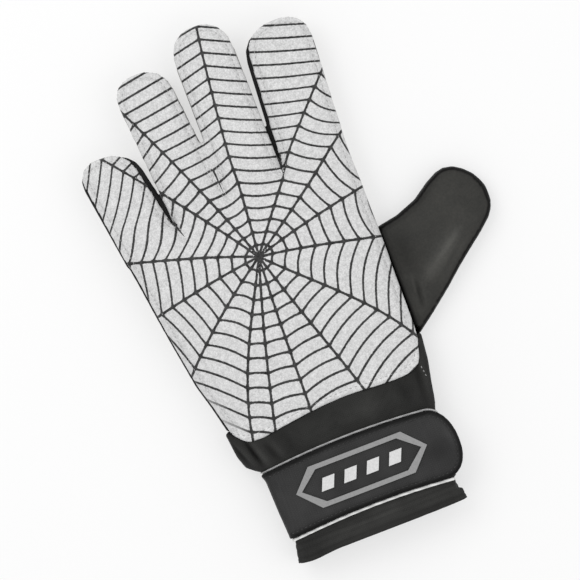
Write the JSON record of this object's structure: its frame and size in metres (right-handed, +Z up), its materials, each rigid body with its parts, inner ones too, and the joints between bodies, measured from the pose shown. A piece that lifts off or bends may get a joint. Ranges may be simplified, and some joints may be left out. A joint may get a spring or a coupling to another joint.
{
  "type": "goalkeeper glove",
  "caption": "Left-hand goalkeeper glove lying palm down, with a padded pale back, dark side strips, a dark thumb, a gathered wrist and a closing strap",
  "frame": {"origin": "on the flat underside of the palm, below the middle of the back of the hand", "axes": "+X to the thumb side, +Y to the fingertips, +Z up out of the back of the hand"},
  "size_m": [0.184, 0.2626, 0.0269],
  "materials": {
    "panel": "matte",
    "palm": "matte",
    "strip": "matte",
    "thumb": "satin",
    "sleeve": "matte",
    "strap": "matte",
    "upper_piping": "matte",
    "lower_piping": "matte",
    "fastener": "matte",
    "badge": "matte",
    "badge_bars": "matte"
  },
  "bodies": {
    "root": {"back_panel": "panel", "palm_panel": "palm", "little_side_strip": "strip", "ring_little_fourchette": "strip", "middle_ring_fourchette": "strip", "index_middle_fourchette": "strip", "index_side_strip": "strip", "thumb_back": "thumb", "thumb_palm": "thumb", "wrist_sleeve": "sleeve", "closure_strap": "strap", "strap_upper_piping": "upper_piping", "strap_lower_piping": "lower_piping", "strap_fastener": "fastener", "badge_frame": "badge", "badge_bar_1": "badge_bars", "badge_bar_2": "badge_bars", "badge_bar_3": "badge_bars", "badge_bar_4": "badge_bars"}
  },
  "joints": []
}
